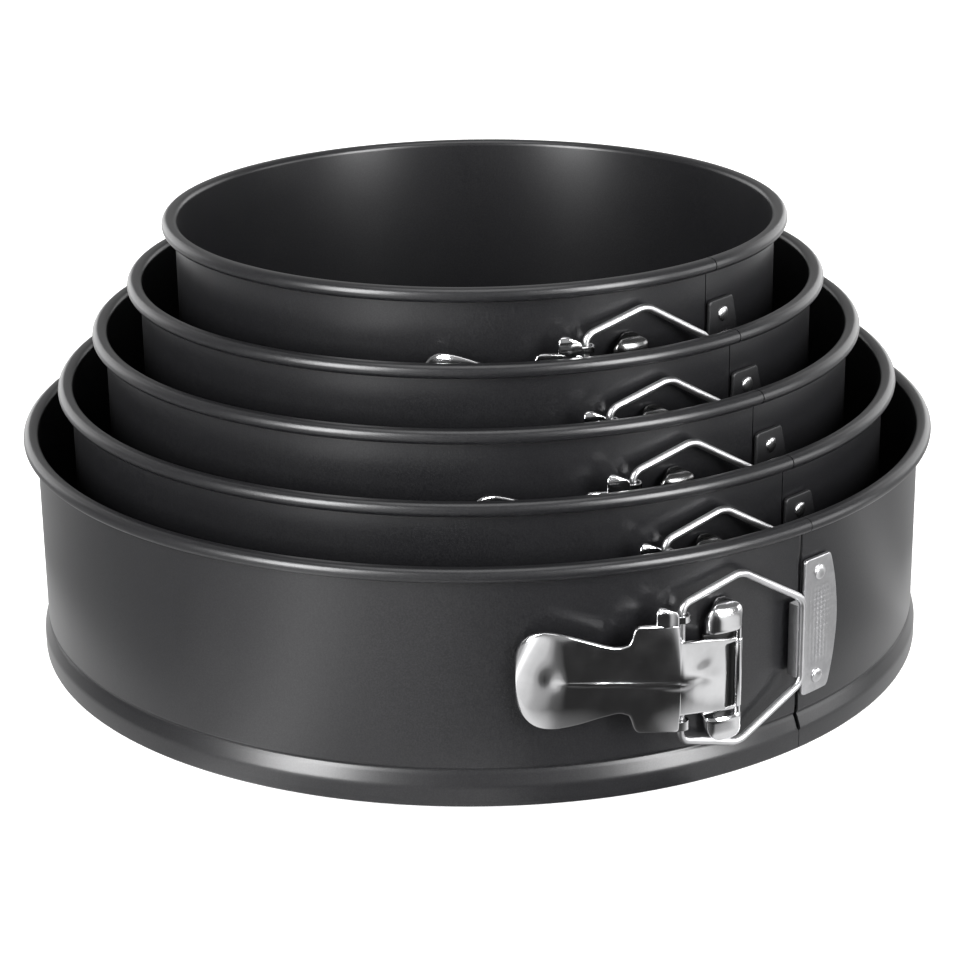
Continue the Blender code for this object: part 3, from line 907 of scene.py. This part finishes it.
def bracket(pan, material):
    """The strap that carries the pin: flat behind the tongue, with a domed lug at each end."""
    low = BRACKET_Z - BRACKET_HALF_LENGTH
    high = BRACKET_Z + BRACKET_HALF_LENGTH
    columns = []
    for z in edge_spacing(low, high, 0.5):
        off = abs(z - BRACKET_Z) / BRACKET_HALF_LENGTH
        end = max(0.0, (off - 0.70) / 0.30)
        half = BRACKET_HALF_WIDTH * math.sqrt(max(0.04, 1 - end**2.2))
        columns.append((z, BRACKET_S - half, BRACKET_S + half))

    def height(z, s):
        flat = GAP + BRACKET_SHEET
        off = abs(z - HINGE_Z)
        across = min(1.0, abs(s - BRACKET_S) / BRACKET_HALF_WIDTH)
        return flat + smooth_through(LUG_OUTLINE, off) * (1 - 0.16 * across**2 - 0.5 * across**6)

    def place(z, s, h):
        return at(pan, s, h, z)

    name = f"{pan.name}_bracket_strap"
    rows = fixed_rows(14)
    return pressed_sheet(name, columns, rows, height, BRACKET_SHEET, place, material, roll=0.3)


def catch(pan, material):
    """The catch plate with a plain knurled field, and its hook."""
    columns = []
    for s in edge_spacing(CATCH_OUTLINE[0][0], CATCH_OUTLINE[-1][0], 0.35):
        half = smooth_through(CATCH_OUTLINE, s)
        columns.append((s, CATCH_CENTRE_Z - half, CATCH_CENTRE_Z + half))

    def height(s, z):
        face = GAP + CATCH_SHEET
        off = z - CATCH_CENTRE_Z
        if abs(off) >= KNURL_HALF_HEIGHT:
            return face
        wave = 2 * math.pi / KNURL_PITCH
        knurl = math.sin(wave * (s + off)) * math.sin(wave * (s - off))
        fade = min(1.0, (KNURL_HALF_HEIGHT - abs(off)) / KNURL_FADE)
        return face + KNURL_DEPTH * bell(s - KNURL_CENTRE_S, KNURL_WIDTH) * knurl * fade

    def place(s, z, h):
        return at(pan, s, h, z)

    rows = fixed_rows(72, crowding=1.0, steps=EDGE_STEPS[:5], share=0.25)
    name = f"{pan.name}_catch_pressing"
    plate = pressed_sheet(name, columns, rows, height, CATCH_SHEET, place, material, roll=0.35)
    path = HOOK_ROOT + arc(*HOOK_BEND) + HOOK_LIP
    z_range = (BAIL_CENTRE_Z - HOOK_HALF_HEIGHT, BAIL_CENTRE_Z + HOOK_HALF_HEIGHT)
    return join(plate, strip("hook", pan, path, HOOK_SHEET, z_range, material))


def rivet(pan, node, s, z, face, material):
    """A rivet with a domed head outside and a flatter one inside the wall."""
    centre = at(pan, s, 0.0, z)
    angle = s / pan.wall + pan.turn
    axis = (math.sin(angle), -math.cos(angle), 0.0)
    stations = [
        (-SHEET - 0.75, 0.2),
        (-SHEET - 0.72, 0.9),
        (-SHEET - 0.5, 1.5),
        (-SHEET - 0.15, RIVET_BACK),
        (-SHEET, RIVET_BACK),
        (-SHEET, RIVET_SHANK),
        (face, RIVET_SHANK),
        (face, RIVET_HEAD),
    ]
    for k in range(1, 7):
        turn = math.pi / 2 * k / 6
        radius = max(RIVET_TIP, RIVET_HEAD * math.cos(turn))
        stations.append((face + RIVET_RIM + RIVET_DOME * math.sin(turn), radius))
    return rod(f"{node}_dome", centre, axis, [(a * MM, r * MM) for a, r in stations], 28, material)


def ride(obj, body, slot, *nodes):
    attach(obj, body)
    if nodes:
        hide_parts(*nodes)


def add_latch(pan, looks, left, right, lever_body, bail_body):
    name = pan.name
    # The nested pans' straps get the darker copy, which is painted shade
    strap = "bracket_chrome" if name == "pan24" else "bracket_dark"
    ride(bracket(pan, looks[strap]), left, "bracket_chrome", f"{name}_hinge_bracket")
    ride(lever(pan, looks["lever_chrome"]), lever_body, "lever_chrome", f"{name}_lever")
    ride(bail(pan, looks["bail_chrome"]), bail_body, "bail_chrome", f"{name}_bail")
    # The nested pans' catch plates get the dark copy, which is painted shade
    plate = "catch_plate_steel" if name == "pan24" else "catch_plate_coated"
    ride(catch(pan, looks[plate]), right, "catch_plate_steel", f"{name}_catch_plate")
    for kind, s, middle, rise, face, body in (
        ("bracket", BRACKET_RIVET_S, HINGE_Z, BRACKET_RIVET_RISE, GAP + BRACKET_SHEET, left),
        ("catch", CATCH_RIVET_S, CATCH_CENTRE_Z, CATCH_RIVET_RISE, GAP + CATCH_SHEET, right),
    ):
        for place, side in (("top", 1), ("bottom", -1)):
            node = f"{name}_{kind}_rivet_{place}"
            head = rivet(pan, node, s, middle + side * rise, face, looks["rivet_steel"])
            ride(head, body, "rivet_steel", node)


def add_outer_pan(pan, looks):
    look = looks["band_coating"]
    start = SEAM_GAP / pan.wall
    right_end, left_start = math.pi - BACK_ARC, math.pi + BACK_ARC
    lap = BEAD_REACH / pan.wall
    right = band_strip("pan24_band_right_sheet", pan, start, right_end, look, reach_back=lap)
    join(right, seam_tongue(pan, look))
    left_end = 2 * math.pi - SEAM_LEFT / pan.wall
    left = band_strip("pan24_band_left_sheet", pan, left_start, left_end, look, reach_on=lap)
    back = band_strip("pan24_band_back_sheet", pan, right_end, left_start, look)
    ride(right, "band_right", "band_coating", "pan24_band_right")
    ride(left, "band_left", "band_coating", "pan24_band_left")
    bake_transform(back)
    ride(base_disc(pan, looks["base_coating"]), "base_24", "base_coating", "pan24_base")
    add_latch(pan, looks, "band_left", "band_right", "lever", "bail")


def add_inner_pan(pan, looks):
    gap = INNER_SEAM / pan.wall
    band = band_strip(f"{pan.name}_band_sheet", pan, gap, 2 * math.pi, looks["band_coating"])
    join(band, seam_tongue(pan, looks["band_coating"]))
    ride(band, pan.body, "band_coating", f"{pan.name}_band")
    ride(base_disc(pan, looks["base_coating"]), pan.body, "base_coating", f"{pan.name}_base")
    add_latch(pan, looks, pan.body, pan.body, pan.body, pan.body)


# Stage: directions are (degrees to the right of the camera, degrees above the horizon)

CAMERA_AZIMUTH = -40.62
CAMERA_ELEVATION = 18.36
CAMERA_ROLL = -0.764
CAMERA_DISTANCE = 0.700
CAMERA_LENS = 94.71
CAMERA_SHIFT = (0.00325, -0.08133)
TARGET = Vector((0.0, 0.0, 0.062))
FLOOR_HALF = 8.0
FLOOR_Z = -0.0002
REFLECTION_Z = -0.0004
DOME_RADIUS = 9.0
DOME_RINGS = 24
DOME_SIDES = 48
# Brightness round the pans: (degrees to the right of the camera, level)
FLOOR_GLOW = (
    (-180.0, 1.5),
    (-140.0, 1.2),
    (-115.0, 0.55),
    (-80.0, 0.40),
    (-56.0, 0.45),
    (-42.0, 0.9),
    (-30.0, 1.9),
    (-18.0, 0.95),
    (-8.0, 0.75),
    (-2.0, 0.45),
    (4.0, 0.12),
    (10.0, 0.03),
    (33.0, 0.03),
    (40.0, 0.95),
    (52.0, 0.8),
    (62.0, 0.35),
    (74.0, 0.45),
    (86.0, 1.0),
    (98.0, 0.5),
    (118.0, 0.55),
    (140.0, 1.2),
    (180.0, 1.5),
)
NEAR_GLOW = (
    (-180.0, 0.9),
    (0.0, 0.9),
    (9.0, 0.22),
    (23.0, 0.10),
    (27.0, 0.9),
    (180.0, 0.9),
)
NEAR_REACH = (0.140, 0.170)
SKY_GLOW = (
    (-180.0, 0.40),
    (-130.0, 0.35),
    (-80.0, 0.16),
    (-30.0, 0.30),
    (30.0, 0.35),
    (80.0, 0.16),
    (130.0, 0.35),
    (180.0, 0.40),
)


# Softboxes: name, direction, distance in metres, size in metres, power in watts
SOFTBOXES = (
    ("key_left_front", -42, 21, 1.3, (0.44, 0.95), 30.0),
    ("key_right_front", 47, 20, 1.3, (0.46, 0.95), 27.0),
    ("side_right", 88, 6, 1.2, (0.50, 0.9), 5.0),
    ("overhead", 0, 88, 1.2, (0.8, 0.8), 5.0),
    ("back_left", -138, 10, 1.4, (1.0, 0.8), 5.0),
    ("back_right", 140, 10, 1.4, (1.0, 0.8), 5.0),
)


def direction(across, above):
    azimuth = math.radians(CAMERA_AZIMUTH + across)
    elevation = math.radians(above)
    level = math.cos(elevation)
    return Vector((math.sin(azimuth) * level, -math.cos(azimuth) * level, math.sin(elevation)))


def add_camera():
    data = bpy.data.cameras.new("camera")
    data.lens = CAMERA_LENS
    data.sensor_width = 36.0
    data.shift_x, data.shift_y = CAMERA_SHIFT
    data.clip_start, data.clip_end = 0.01, 50.0
    camera = bpy.data.objects.new("camera", data)
    back = direction(0.0, CAMERA_ELEVATION)
    camera.rotation_mode = "QUATERNION"
    camera.location = TARGET + back * CAMERA_DISTANCE
    roll = Quaternion((0, 0, 1), math.radians(CAMERA_ROLL))
    camera.rotation_quaternion = (-back).to_track_quat("-Z", "Y") @ roll
    bpy.context.scene.collection.objects.link(camera)
    bpy.context.scene.camera = camera


def add_softbox(name, across, above, distance, size, power):
    data = bpy.data.lights.new(name, "AREA")
    data.shape = "RECTANGLE"
    data.size, data.size_y = size
    data.energy = power
    light = bpy.data.objects.new(name, data)
    away = direction(across, above)
    light.location = TARGET + away * distance
    light.rotation_mode = "QUATERNION"
    light.rotation_quaternion = (-away).to_track_quat("-Z", "Y")
    light.visible_camera = False
    bpy.context.scene.collection.objects.link(light)


def emission_material(name, colour, strength):
    material = bpy.data.materials.new(name)
    material.use_nodes = True
    nodes, links = material.node_tree.nodes, material.node_tree.links
    nodes.remove(nodes["Principled BSDF"])
    glow = nodes.new("ShaderNodeEmission")
    glow.inputs["Color"].default_value = (*colour, 1)
    glow.inputs["Strength"].default_value = strength
    links.new(glow.outputs["Emission"], nodes["Material Output"].inputs["Surface"])
    return material


def ground_square(z):
    half = FLOOR_HALF
    return [(-half, -half, z), (half, -half, z), (half, half, z), (-half, half, z)], [(0, 1, 2, 3)]


def add_floor():
    material = bpy.data.materials.new("floor")
    material.use_nodes = True
    shader = material.node_tree.nodes["Principled BSDF"]
    shader.inputs["Base Color"].default_value = (0.92, 0.92, 0.92, 1)
    shader.inputs["Roughness"].default_value = 0.9
    shader.inputs["Emission Color"].default_value = (1, 1, 1, 1)
    shader.inputs["Emission Strength"].default_value = 0.55
    floor = add_mesh("floor", *ground_square(FLOOR_Z), material)
    floor.visible_glossy = False
    rings = []
    for k in range(DOME_RINGS + 1):
        turn = math.pi * (k / DOME_RINGS - 0.5)
        level, height = DOME_RADIUS * math.cos(turn), DOME_RADIUS * math.sin(turn)
        angles = [2 * math.pi * i / DOME_SIDES for i in range(DOME_SIDES)]
        rings.append([(level * math.cos(a), level * math.sin(a), height) for a in angles])
    dome = add_mesh("backdrop", *loft(rings), emission_material("backdrop", (1, 1, 1), 1.0))
    dome.visible_glossy = False
    dome.visible_diffuse = False
    dome.visible_shadow = False
    dome.visible_transmission = False


def across_value(nodes, links, vector, stops):
    """A value read from how far round the pans a direction lies, in degrees right of the front."""
    front = direction(0.0, 0.0)
    side = direction(90.0, 0.0)
    parts = []
    for axis in (side, front):
        dot = nodes.new("ShaderNodeVectorMath")
        dot.operation = "DOT_PRODUCT"
        dot.inputs[1].default_value = axis
        links.new(vector, dot.inputs[0])
        parts.append(dot.outputs["Value"])
    turn = nodes.new("ShaderNodeMath")
    turn.operation = "ARCTAN2"
    links.new(parts[0], turn.inputs[0])
    links.new(parts[1], turn.inputs[1])
    share = nodes.new("ShaderNodeMapRange")
    share.inputs["From Min"].default_value = -math.pi
    share.inputs["From Max"].default_value = math.pi
    links.new(turn.outputs["Value"], share.inputs["Value"])
    curve = nodes.new("ShaderNodeValToRGB")
    elements = curve.color_ramp.elements
    while len(elements) > 1:
        elements.remove(elements[-1])
    peak = max(value for _, value in stops)
    for i, (degrees, value) in enumerate(stops):
        position = (degrees + 180.0) / 360.0
        element = elements[0] if i == 0 else elements.new(position)
        element.position = position
        level = value / peak
        element.color = (level, level, level, 1)
    curve.color_ramp.interpolation = "EASE"
    links.new(share.outputs["Result"], curve.inputs["Fac"])
    scaled = nodes.new("ShaderNodeMath")
    scaled.operation = "MULTIPLY"
    scaled.inputs[1].default_value = peak
    links.new(curve.outputs["Color"], scaled.inputs[0])
    return scaled.outputs["Value"]


def add_reflecting_floor():
    """What the metal sees below the horizon, a floor lit at the sides and behind, dark at the front."""
    material = emission_material("floor_reflection", (1, 1, 1), 1.0)
    nodes, links = material.node_tree.nodes, material.node_tree.links
    place = nodes.new("ShaderNodeTexCoord")
    value = across_value(nodes, links, place.outputs["Object"], FLOOR_GLOW)
    far = nodes.new("ShaderNodeVectorMath")
    far.operation = "LENGTH"
    links.new(place.outputs["Object"], far.inputs[0])
    near = nodes.new("ShaderNodeMath")
    near.operation = "MULTIPLY"
    links.new(value_ramp(nodes, links, far.outputs["Value"], *NEAR_REACH, 1.0, 0.0), near.inputs[0])
    links.new(across_value(nodes, links, place.outputs["Object"], NEAR_GLOW), near.inputs[1])
    brighter = nodes.new("ShaderNodeMath")
    brighter.operation = "MAXIMUM"
    links.new(value, brighter.inputs[0])
    links.new(near.outputs["Value"], brighter.inputs[1])
    glow = next(n for n in nodes if n.type == "EMISSION")
    links.new(brighter.outputs["Value"], glow.inputs["Strength"])
    material.cycles.emission_sampling = "NONE"
    card = add_mesh("floor_reflection", *ground_square(REFLECTION_Z), material)
    card.visible_camera = False
    card.visible_diffuse = False
    card.visible_shadow = False


def add_world():
    world = bpy.data.worlds.new("studio")
    world.use_nodes = True
    nodes, links = world.node_tree.nodes, world.node_tree.links
    background = nodes["Background"]
    background.inputs["Color"].default_value = (1, 1, 1, 1)
    place = nodes.new("ShaderNodeTexCoord")
    glow = across_value(nodes, links, place.outputs["Generated"], SKY_GLOW)
    links.new(glow, background.inputs["Strength"])
    bpy.context.scene.world = world


def add_lights():
    for softbox in SOFTBOXES:
        add_softbox(*softbox)


def main():
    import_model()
    looks = {name: coating(name, *look) for name, look in COATINGS.items()}
    looks.update({name: bright_metal(name, *look) for name, look in BRIGHT_METALS.items()})
    looks["catch_plate_steel"] = dull_steel("catch_plate_steel")
    # Painted shade on the outer strap's middle, behind the lever's tongue
    paint_shade_between(looks["bracket_chrome"], *STRAP_SHADE_SPAN, STRAP_SHADE_LEVEL)
    outer, *nested = PANS
    add_outer_pan(outer, looks)
    for pan in nested:
        add_inner_pan(pan, looks)
    add_camera()
    add_floor()
    add_reflecting_floor()
    add_world()
    add_lights()
    bpy.context.scene.view_settings.view_transform = "Standard"


main()
